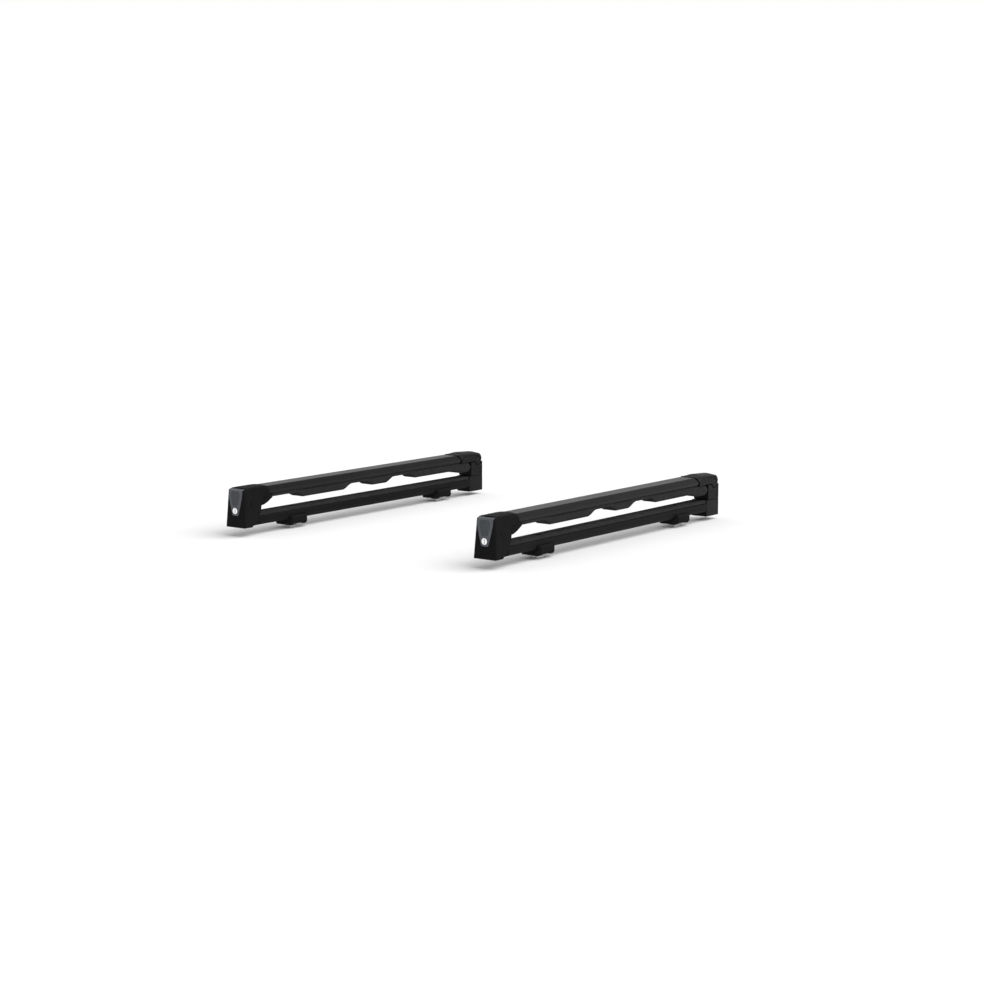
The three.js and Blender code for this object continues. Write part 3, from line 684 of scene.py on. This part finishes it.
def lower_pad():
    base, top, half = LOWER_PAD["bottom"], LOWER_PAD["top"], PAD["half"] - 1
    right = [(PAD["root"], base - 6.6), (PAD["root"], base - 3.0), (PAD["neck"], base - 3.0),
             (PAD["neck"], base), (half - 0.8, base), (half, base + 0.8), (half, base + 3.2),
             (half - 0.5, base + 5), (half - 1.6, base + 6.6), (half - 3.2, top)]
    across = np.linspace(half - 4.2, -(half - 4.2), 45)
    face = [(y, top - float(grooved(y, half - 4.4))) for y in across]
    left = [(-y, z) for y, z in reversed(right)]
    section = counter_clockwise(np.array(right + face + left))
    whole = loft([along("x", section, x) for x in np.linspace(LOWER_PAD["x0"], LOWER_PAD["x1"], 9)])
    holes = [bar("z", (x, 0), ACCESS_HOLE, 0, 30, 0.01) for x in FEET.values()]
    return cut(whole, brick((0, LOWER_PAD["root_x0"]), (-15, 15), (0, base - 0.3)),
               brick((GUIDE_X0 - 26, GUIDE_X0 + 1), (-15, 15), (0, base - 0.3)), *holes)


# ---- Lock end.
def tapered(z, low, high):
    """A dimension that changes evenly from the housing's underside to its top."""
    share = (z - HOUSING["underside"]) / (HOUSING["height"] - HOUSING["underside"])
    return low + (high - low) * share


def housing_half(x, z):
    half = tapered(z, HOUSING["low_half"], HOUSING["high_half"])
    corner = tapered(z, HOUSING["low_corner"], HOUSING["high_corner"])
    near = np.clip(corner - x, 0.0, corner)
    return half - corner + np.sqrt(np.maximum(corner**2 - near**2, 0.0))


def end_face(y, z):
    """Where the housing's end face lies: it leans back and its upright corners are rounded."""
    half = tapered(z, HOUSING["low_half"], HOUSING["high_half"])
    corner = tapered(z, HOUSING["low_corner"], HOUSING["high_corner"])
    past = np.clip(np.abs(y) - (half - corner), 0.0, corner)
    rounded = corner - np.sqrt(np.maximum(corner**2 - past**2, 0.0))
    blend = 0.3
    return blend * np.logaddexp(rounded / blend, tapered(z, 0.0, HOUSING["lean"]) / blend)


def housing_edge(x, z):
    upper = 1.1 + 1.5 * smooth_step((z - 74) / 9)
    return 0.15 + (upper - 0.15) * smooth_step((x - 0.2) / 5)


def housing_sunk(x, z):
    """The side panel: its rim runs up beside the outer corner and then along the top."""
    centre, radius = (40.0, 53.8), 20.0
    in_corner = (x < centre[0]) & (z > centre[1])
    round_part = radius - np.hypot(x - centre[0], z - centre[1])
    straight = np.minimum(x - (centre[0] - radius), centre[1] + radius - z)
    inside = np.where(in_corner, round_part, straight)
    fade = smooth_step((z - 14) / 30)
    return 0.75 * smooth_step((inside + 0.9) / 1.8) * fade


def housing():
    length, top = HOUSING["length"], HOUSING["top"]
    side = outline([(0, -2.5, 1), (26, -2.5, 4), (54.5, 26, 4), (58, 38, 6), (66, 62.8, 6),
                    (length, 63.2, 3), (length, top, 13), (46, top), (13, top - 0.3, 3),
                    (HOUSING["lean"], 80.9, 2.5)], 8)
    near_corner = [0.12, 0.45, 1.0, 1.75, 2.7, 3.8, 5.0, 6.4, 8.0]
    columns = np.concatenate([near_corner, np.arange(9.2, length, 1.2)])
    rows = np.arange(-1.8, top + 1, 1.2)
    body = slab(densified(side, 2.5), housing_half, housing_edge, housing_sunk, columns, rows)
    crown_up(body, 62, top, HOUSING["crown"], 24)
    inner, ceiling = HOUSING["cavity_half"], HOUSING["ceiling"]
    cavity = outline([(3, -inner, 1), (97, -inner), (97, inner), (3, inner, 1)])
    brow = outline([(-5, 80), (3.5, 80), (12.4, ceiling - 0.1), (12.4, 95), (-5, 95)])
    head_floor = 22.6
    body = cut(
        body,
        prism(cavity, "z", -8, ceiling, 0.5, 2),
        prism(button_loop(0.4), "x", -5, 4, 0.01, 1),
        frustum(button_loop(1.2), button_loop(0.3), "x", -0.4, 1.3),
        prism(brow, "y", -inner, inner, 0.01, 1),
        bar("y", LATCH_PIN, LATCH_BORE, -40, 40, 0.01, 24),
        bar("y", LATCH_PIN, 3.6, head_floor, 40, 0.01, 32),
        bar("y", LATCH_PIN, 3.6, -40, -head_floor, 0.01, 32),
    )
    return joined(body, brick((18.8, 21.3), (-5.5, 5.5), (54.5, ceiling + 0.7), 0.2, 0.5))


def crown_up(body, start, full, rise, half):
    """Lifts the top of a piece into a crown that is highest along the middle."""
    for vertex in body.data.vertices:
        share = float(smooth_step((vertex.co.z - start) / (full - start)))
        vertex.co.z += rise * share * max(0.0, 1 - (vertex.co.y / half) ** 2)


def button_loop(grow):
    low, high = BUTTON["low_half"] + grow, BUTTON["high_half"] + grow
    bottom, shoulder, top = BUTTON["bottom"] - grow, BUTTON["shoulder"], BUTTON["top"] + grow
    half_loop = [(low, bottom, 4), (15.3 + grow, 47), (high - 0.1, shoulder, 6), (high, top, 0.5)]
    return mirrored(half_loop)


BUTTON_PANEL = mirrored(PANEL)


def panel_depth(y, z):
    return 0.8 * float(smooth_step((depth_inside(BUTTON_PANEL, y, z) + 0.6) / 1.2))


# Faces of the recessed panel. They take the darker panel finish, which is partly painted shade.
def in_panel(x, y, z):
    return x < 4 and panel_depth(y, z) > 0.4


def button():
    inner_half = BUTTON["high_half"] - 0.2

    whole = face_plate(densified(button_loop(0.0), 1.5), end_face, 5, 0.9, panel_depth)
    flange = prism(button_loop(1.6), "x", 3.4, 4.9, 0.2, 2)
    flange = cut(flange, brick((0, 10), (-40, -inner_half), (0, 95)),
                 brick((0, 10), (inner_half, 40), (0, 95)), brick((0, 10), (-40, 40), (80, 95)))
    shelf_side = outline([(3.4, 76), (3.4, 84.5), (13.2, 84.5), (13.2, 81.5, 1), (5.1, 76)])
    shelf = prism(shelf_side, "y", -inner_half, inner_half, 0.3, 2)
    boss = bar("x", (0, 58), 2.2, 4, 8, 0.3, 20)
    legs = [brick((4, 18.2), ys, (66.5, 70), 0.2, 0.4) for ys in ((-12.9, -10.6), (10.6, 12.9))]
    whole = joined(whole, flange, shelf, boss, *legs)
    above = outline([(-5, 80.5), (0.4, 80.5, 0.5), (3, 82.6, 1), (12.4, 84.3), (15, 84.3), (15, 95),
                     (-5, 95)])
    return cut(
        whole,
        prism(above, "y", -30, 30, 0.01, 1),
        turned("x", (0, LOCK_Z), [(8.6, -1), (8.1, 0.35), (7.5, 1.2), (7.5, 2.5)]),
        bar("x", (0, LOCK_Z), 6.5, 1, 10, 0.01, 36),
    )


def lock_cylinder():
    profile = [(0.0, -0.35), (4.9, -0.35), (5.2, -0.2), (5.6, -0.2), (5.9, -0.5), (6.7, -0.5),
               (7.0, -0.35), (7.2, 0.0), (7.2, 2.0), (7.0, 2.2), (6.2, 2.2), (6.2, 13.7), (5.9, 14),
               (1.9, 14), (1.9, 17.3), (1.6, 17.5), (0.0, 17.5)]
    body = turned("x", (0, LOCK_Z), profile)
    keyway = outline([(-0.8, LOCK_Z - 4), (0.8, LOCK_Z - 4), (0.8, LOCK_Z + 4),
                      (-0.8, LOCK_Z + 4)])
    flared = outline([(-1.2, LOCK_Z - 4.4), (1.2, LOCK_Z - 4.4), (1.2, LOCK_Z + 4.4),
                      (-1.2, LOCK_Z + 4.4)])
    return cut(body, prism(keyway, "x", -2, 4, 0.01, 1), frustum(flared, keyway, "x", -0.4, 0.1))


def lock_cam():
    plate = outline([(-4.5, 30.5, 3), (9.6, 31.8, 2), (9.6, 38.2, 2), (-4.5, 39.5, 3)])
    return cut(prism(plate, "x", 14.3, 16.3, 0.3), bar("x", (0, LOCK_Z), 2.2, 10, 20, 0.01, 24))


def housing_cover():
    outer = outline([(53, 30), (56.5, 30, 1), (56.5, 41.5, 3), (70, 42.6, 4), (82, 46, 8),
                     (101.7, 57.5, 1.5), (101.7, 65, 1.2), (53, 65)], 8)
    inner = outline([(50, 44.5), (69, 45.6, 4), (81, 49, 8), (98.7, 59.3, 1), (98.7, 70), (50, 70)],
                    8)
    channel = cut(prism(outer, "y", -20.9, 20.9, 0.5), prism(inner, "y", -18.5, 18.5, 0.01, 1))
    rib = outline([(60, 43.4), (82, 47.3), (95, 55.5), (95, 60.5), (80, 53), (60, 48)])
    ribs = [prism(rib, "y", y - 0.8, y + 0.8, 0.2, 1) for y in (-9, 0, 9)]
    return joined(channel, *ribs)


def pin_with_heads(centre, radius, reach, head, head_depth):
    """A pin along Y with a low domed head at each end."""
    profile = [(0.0, -reach), (head * 0.55, -reach + 0.08), (head - 0.3, -reach + 0.3),
               (head, -reach + head_depth * 0.75), (head, -reach + head_depth),
               (radius, -reach + head_depth)]
    profile += [(r, -w) for r, w in reversed(profile)]
    return turned("y", centre, profile)


def latch():
    x, z = LATCH_PIN
    leg = outline([(x - 3.5, 7.9, 1), (x + 2.5, 7.9), (x + 2.5, 30, 4), (x + 3.5, 44, 4),
                   (x + 3.5, 71, 2), (x - 3.5, 71, 1)])
    legs = [prism(leg, "y", *ys, 0.3, 2) for ys in ((-13, -10.5), (10.5, 13))]
    toe = brick((x - 3.3, 36.5), (-12.8, 12.8), (8.0, 9.65), 0.3, 1)
    rear = brick((x - 3.4, x - 1.6), (-12.7, 12.7), (8.1, 20), 0.3, 0.5)
    return cut(joined(legs[0], legs[1], toe, rear), bar("y", (x, z), LATCH_BORE, -40, 40, 0.01, 24))


def striker():
    plan = outline([(31, -17, 1.5), (46, -17, 0.5), (46, 17, 0.5), (31, 17, 1.5)])
    return prism(plan, "z", 10, 11.8, 0.3)


def rail_plug(x0, x1):
    return brick((x0, x1), (-PLUG_HALF, PLUG_HALF), (1.4, 11.3), 0.5, 1)


def end_block():
    side = outline([(30, -1, 2), (55.7, -1, 0.5), (55.7, 24, 2), (44, 24, 4), (30, 15, 3)], 8)
    body = prism(side, "y", -20, 20, 1.2, 4)
    room = outline([(20, -14.5), (40, -14.5, 2), (40, 14.5, 2), (20, 14.5)])
    return cut(
        joined(body, rail_plug(49.7, 73.7)),
        prism(room, "z", -5, 30, 0.01, 1),
        brick((20, 46.4), (-17.4, 17.4), (9.7, 12.1)),
        *[brick((47.5, 53), ys, (14, 30), 0.3, 1) for ys in ((-15, -3), (3, 15))],
    )


def button_spring():
    made = coil(3, 0.45, 5, 13.2)
    made.data.transform(Matrix.Rotation(math.pi / 2, 4, "Y"))
    made.data.transform(Matrix.Translation((5.3, 0, 58)))
    return made


# ---- Hinge end.
def post_plan(x0, inset=0.0):
    x1, half = POST["x1"] - inset, POST["half"] - inset
    near, far = x0 + inset, x1
    return outline([(near, -half, 2), (far, -half, 7), (far, half, 7), (near, half, 2)], 8)


def guide():
    body = prism(post_plan(GUIDE_X0), "z", -13, 26, 0.9, 3)
    band = prism(outline([(820, -24), (893, -24), (893, 24), (820, 24)]), "z", 22.3, 23.3, 0.01, 1)
    groove = cut(band, prism(post_plan(GUIDE_X0, 0.6), "z", 20, 25, 0.01, 1))
    body = joined(body, rail_plug(GUIDE_X0 - 22, GUIDE_X0 + 2))
    reach = STEM["half"] + 0.4
    bore = brick((STEM["x0"] - 0.4, STEM["x1"] + 0.4), (-reach, reach), (-10, 31), 0.02, 1.5)
    return cut(body, groove, bore, bar("z", (WELL_X, 0), 2.8, -14, -9, 0.01, 20))


def spring_rod():
    profile = [(0.0, -13), (2.2, -13), (2.5, -12.7), (2.5, 36), (4.9, 36), (5.2, 36.3), (5.2, 39.6),
               (4.8, 40), (0.0, 40)]
    body = turned("z", (WELL_X, 0), profile, 32)
    socket = circle((WELL_X, 0), 2.2, 6)
    return cut(body, prism(socket, "z", 38, 41, 0.01, 1))


def lift_spring():
    made = coil(4.2, 0.6, 8, 41)
    made.data.transform(Matrix.Translation((WELL_X, 0, -5.7)))
    return made


def post():
    x0 = POST["x0"]
    half, bevel = POST["half"], 0.8
    saddle, mouth = circle(HINGE, SADDLE, 96), circle(HINGE, SADDLE + bevel, 96)
    body = cut(
        prism(post_plan(x0), "z", POST["collar"], POST["shoulder"], 1.2, 4),
        prism(saddle, "y", -30, 30, 0.01, 1),
        frustum(mouth, saddle, "y", -half - 0.01, -half + bevel),
        frustum(saddle, mouth, "y", half - bevel, half + 0.01),
    )
    stem = brick((STEM["x0"], STEM["x1"]), (-STEM["half"], STEM["half"]), (-9, 27.6), 0.6, 1.2)
    knuckle = bar("y", HINGE, 11, -9, 9, 0.6, 64)
    neck = brick((857, HINGE[0] + 0.5), (-9, 9), (48, HINGE[1]), 0.02)
    body = joined(body, stem, knuckle, neck)
    panel = outline([(x0 + 6, 31, 3), (x0 + 39, 31, 3), (x0 + 39, 46, 3), (x0 + 6, 46, 3)], 6)
    small = panel + inward(panel) * 0.6
    return cut(
        body,
        frustum(panel, small, "y", -half - 0.01, -half + 0.6),
        frustum(small, panel, "y", half - 0.6, half + 0.01),
        bar("y", HINGE, PIN_BORE, -30, 30, 0.01, 32),
        bar("z", (WELL_X, 0), WELL_RADIUS, -6, POST["shoulder"] + 0.4, 0.01, 32),
        bar("z", (WELL_X, 0), 3, -20, 0, 0.01, 20),
    )


def cap_top(x):
    """The height of the hinge cap's top edges, which fall towards the pin."""
    return SEAM["top"][1] - 0.2 - 0.055 * (x - SEAM["top"][0])


def cap_half(*_):
    return CAP_HALF


def cap_edge(x, z):
    upper = 1.6 * smooth_step((z - 76) / 5) * smooth_step((x - 782) / 6)
    low = smooth_step((66 - z) / 2)
    fine = 0.15 + (0.5 + 0.7 * low) * smooth_step((x - 783 - 16 * low) / 10)
    return fine + np.maximum(upper, 3.2 * smooth_step((x - 864) / 12))


def cap_sunk(x, z):
    """The scoop above the crease that runs back from the seam's bend and climbs to the pin's
    boss. It is deepest along the crease."""
    crease = 71.4 + 5.5 * smooth_step((x - 836) / 26)
    above = smooth_step((z - crease) / 2.4) * np.clip(1.1 - (z - crease) / 14, 0.1, 1.0)
    ends = smooth_step((x - 796) / 8) * smooth_step((864 - x) / 9)
    below_top = smooth_step((cap_top(x) + 0.5 - z) / 5)
    return 2.3 * above * ends * below_top


def hinge_cap():
    end = -math.pi + math.asin((HINGE[1] - CAP_UNDERSIDE) / LOBE)
    turns = np.linspace(math.radians(58), end, 48)
    lobe = [(HINGE[0] + LOBE * math.cos(t), HINGE[1] + LOBE * math.sin(t)) for t in turns]
    top_x, (bend_x, bend_z), low_x = SEAM["top"][0] + 0.6, SEAM["bend"], SEAM["low"][0]
    points = [(top_x, cap_top(top_x), 1.6), *lobe, (low_x + 0.3, CAP_UNDERSIDE, 0.8),
              (bend_x, bend_z, 2)]
    loop = densified(outline(points), 2.5)
    columns = np.arange(780, 884, 1.2)
    rows = np.arange(53.5, 87, 1.2)
    body = slab(loop, cap_half, cap_edge, cap_sunk, columns, rows)
    for vertex in body.data.vertices:
        x, y, z = vertex.co
        swell = 5.8 * float(smooth_step((x - 776) / 30) * smooth_step((892 - x) / 38))
        share = float(smooth_step((z - 72) / (cap_top(x) - 72)))
        vertex.co.z += swell * share * max(0.0, 1 - (y / CAP_HALF) ** 2)
    body = joined(body, brick((CAP_PLUG_X0, 812), (-PLUG_HALF, PLUG_HALF), (68, 81.9), 0.5, 1))
    crescents = []
    for ys in ((-24, -18.9), (18.9, 24)):
        boss = cut(bar("y", (873.5, 76), 10.8, *ys, 0.01),
                   bar("y", (877, 75.6), 11.2, -30, 30, 0.01))
        crescents.append(combined(boss, [brick((855, 875), (-30, 30), (68, 82))], "INTERSECT"))
    mark, mark_floor = (804, 0), 88
    slot = 11.6
    neck_room = outline([HINGE, (HINGE[0] - slot, HINGE[1]), (HINGE[0] - slot, 40), (905, 40),
                         (905, HINGE[1] - 2.8)])
    return cut(
        body,
        bar("y", HINGE, slot, -9.4, 9.4, 0.01, 72),
        prism(neck_room, "y", -9.45, 9.45, 0.01, 1),
        bar("y", HINGE, PIN_BORE, -30, 30, 0.01, 32),
        bar("z", mark, 1.7, mark_floor, 96, 0.01, 20),
        *crescents,
    )


# ---- Feet.
def foot_bracket(x):
    section = mirrored([(23, -13, 1.5), (27, -9, 1.5), (27, 3, 0.5), (24, 7.2, 1.5),
                        (20.4, 7.2, 0.3), (20.4, 5.6), (21, 4.6), (21, -1.3)])
    plan = mirrored_plan(x, [(30, 19, 1.5), (24, 27, 1.5)])
    body = prism(section, "x", x - 33, x + 33, 0.1, 1)
    body = combined(body, [prism(plan, "z", -40, 40, 0.01, 1)], "INTERSECT")
    facets = []
    for side in (-1, 1):
        wedge = [(x - 8, -14), (x + 34, -14), (x + 34, -9.9), (x - 8, -4.0)]
        shallow = [(u, v - 3.4) for u, v in wedge]
        loops = [outline(wedge), outline(shallow)]
        places = [side * 27.3, side * 24.6]
        if side > 0:
            loops.reverse()
            places.reverse()
        facets.append(frustum(*loops, "y", *places))
    notches = [brick((x + 15, x + 21), ys, (-15, -9.4), 0.01, 1)
               for ys in ((-29, -21.4), (21.4, 29))]
    return cut(body, bar("z", (x, 0), SCREW_HOLE, -40, 40, 0.01, 32), *facets, *notches)


def mirrored_plan(x, quarter):
    """A plan outline that is symmetric both ways about (x, 0), given in one quarter."""
    half = [(x + u, v, r) for u, v, r in quarter] + [(x - u, v, r) for u, v, r in reversed(quarter)]
    return outline(half + [(u, -v, r) for u, v, r in reversed(half)])


def foot_pad(x, side):
    low, high = sorted((x + side * 15, x + side * 28))
    plan = outline([(low, -22, 2), (high, -22, 2), (high, 22, 2), (low, 22, 2)])
    grooves = [prism(outline([(y - 0.9, -15.4), (y + 0.9, -15.4), (y, -14.5)]), "x", low - 1,
                     high + 1, 0.01, 1) for y in np.arange(-18, 19, 4)]
    return cut(prism(plan, "z", -15, -13.3, 0.3, 2), *grooves)


def clamp_screw(x):
    shank = threaded((x, 0), 4, 0.65, 1.25, -22.5, -0.5)
    profile = [(0.0, -1.4), (3.6, -1.4), (3.6, 1.3), (6.1, 1.3), (6.5, 1.7), (6.5, 6.7), (6.0, 7.3),
               (0.0, 7.3)]
    head = turned("z", (x, 0), profile)
    socket = circle((x, 0), 3.4, 6)
    mouth = frustum(socket, circle((x, 0), 4.0, 6), "z", 6.7, 7.35)
    return beside(cut(head, prism(socket, "z", 3.3, 9, 0.01, 1), mouth), shank)


def track_nut(x):
    plate = brick((x - 14, x + 14), (-9.5, 9.5), (-23, -18.4), 0.6, 2)
    neck = brick((x - 10, x + 10), (-5, 5), (-19.4, -14.6), 0.4, 1)
    return cut(joined(plate, neck), bar("z", (x, 0), NUT_BORE, -24, -13, 0.01, 32))


# ---- Every piece, with the body that it rides on and its finish.
# The lower rail takes the darker rail finish, which is painted shade.
place(lower_rail(), "lower_rail", "base", "rail", finish="painted_shade_rail")
place(lower_pad(), "lower_pad", "base", "rubber")
place(end_block(), "lower_end_block", "base", "plastic")
place(striker(), "striker_plate", "base", "steel")
place(guide(), "post_guide", "base", "plastic", finish="satin")
place(spring_rod(), "spring_rod", "base", "steel")
for end, x in FEET.items():
    outer = -1 if end == "lock" else 1
    place(foot_bracket(x), f"foot_bracket_{end}", "base", "plastic")
    place(foot_pad(x, outer), f"foot_pad_{end}_outer", "base", "rubber")
    place(foot_pad(x, -outer), f"foot_pad_{end}_inner", "base", "rubber")
    place(clamp_screw(x), f"clamp_screw_{end}", f"{end}_screw", "steel")
    place(track_nut(x), f"track_nut_{end}", f"{end}_nut", "steel")
place(post(), "hinge_post", "post", "plastic", finish="satin")
place(pin_with_heads(HINGE, 4, 19.8, 4, 0.6), "hinge_pin", "post", "pin_black")
place(lift_spring(), "lift_spring", "post", "steel",
      spring=("post_lift", (0, 0, 1), (WELL_X, 0, -5.7), 0.31))
place(upper_rail(), "upper_rail", "arm", "rail")
place(upper_pad(), "upper_pad", "arm", "rubber")
place(hinge_cap(), "hinge_cap", "arm", "plastic", finish="satin")
place(housing(), "lock_housing", "arm", "plastic")
place(housing_cover(), "housing_cover", "arm", "plastic")
place(pin_with_heads(LATCH_PIN, 2.5, 23.6, 3.2, 0.6), "latch_pin", "arm", "pin_black")
# The button's recessed panel takes a darker finish, partly painted shade.
place(button(), "release_button", "button", "button", panel=in_panel)
place(button_spring(), "button_spring", "button", "steel",
      spring=("button_press", (1, 0, 0), (5.3, 0, 58), 0.69))
place(lock_cylinder(), "lock_cylinder", "lock", "chrome")
place(lock_cam(), "lock_cam", "lock", "steel")
place(latch(), "latch_hook", "latch", "steel")


# ---- Floor, light and camera.
def stage_floor():
    reach = 200
    mesh = bpy.data.meshes.new("floor")
    corners = [(-reach, -reach, 0), (reach, -reach, 0), (reach, reach, 0), (-reach, reach, 0)]
    mesh.from_pydata(corners, [], [(0, 1, 2, 3)])
    floor = bpy.data.objects.new("floor", mesh)
    bpy.context.scene.collection.objects.link(floor)
    n = Nodes("pale_floor")
    colour = n.mixed(n.noise(0.6, 3), (0.9, 0.9, 0.9), (0.92, 0.92, 0.92))
    n.link(colour, n.shader.inputs["Base Color"])
    mesh.materials.append(n.set(Roughness=0.95, Specular_IOR_Level=0.0))


def studio():
    """Soft light: a white surround that is dimmer overhead, and one broad sun from the side."""
    world = bpy.data.worlds.new("studio")
    world.use_nodes = True
    tree = world.node_tree
    background = tree.nodes["Background"]
    coordinates = tree.nodes.new("ShaderNodeTexCoord")
    split = tree.nodes.new("ShaderNodeSeparateXYZ")
    ramp = tree.nodes.new("ShaderNodeMapRange")
    ramp.interpolation_type = "SMOOTHSTEP"
    ramp.inputs["From Min"].default_value = 0.2
    ramp.inputs["From Max"].default_value = 0.6
    ramp.inputs["To Min"].default_value = 1.0
    ramp.inputs["To Max"].default_value = 0.55
    tree.links.new(coordinates.outputs["Generated"], split.inputs["Vector"])
    tree.links.new(split.outputs["Z"], ramp.inputs["Value"])
    tree.links.new(ramp.outputs["Result"], background.inputs["Strength"])
    background.inputs["Color"].default_value = (1, 1, 1, 1)
    bpy.context.scene.world = world
    data = bpy.data.lights.new("sun", "SUN")
    data.energy = 2.2
    data.angle = math.radians(70)
    sun = bpy.data.objects.new("sun", data)
    towards = Vector((-0.45, 0.75, -1.1))
    sun.rotation_euler = towards.to_track_quat("-Z", "Y").to_euler()
    bpy.context.scene.collection.objects.link(sun)
    bpy.context.scene.view_settings.view_transform = "Standard"


def camera():
    data = bpy.data.cameras.new("camera")
    data.sensor_width = 36
    data.lens = 80.1
    data.clip_end = 500
    made = bpy.data.objects.new("camera", data)
    heading, pitch = math.radians(37.03), math.radians(8.08)
    look = Vector((math.cos(heading) * math.cos(pitch), math.sin(heading) * math.cos(pitch),
                   -math.sin(pitch)))
    made.location = (-3.9813, -3.0475, 0.7845)
    made.rotation_euler = look.to_track_quat("-Z", "Y").to_euler()
    bpy.context.scene.collection.objects.link(made)
    bpy.context.scene.camera = made


stage_floor()
studio()
camera()
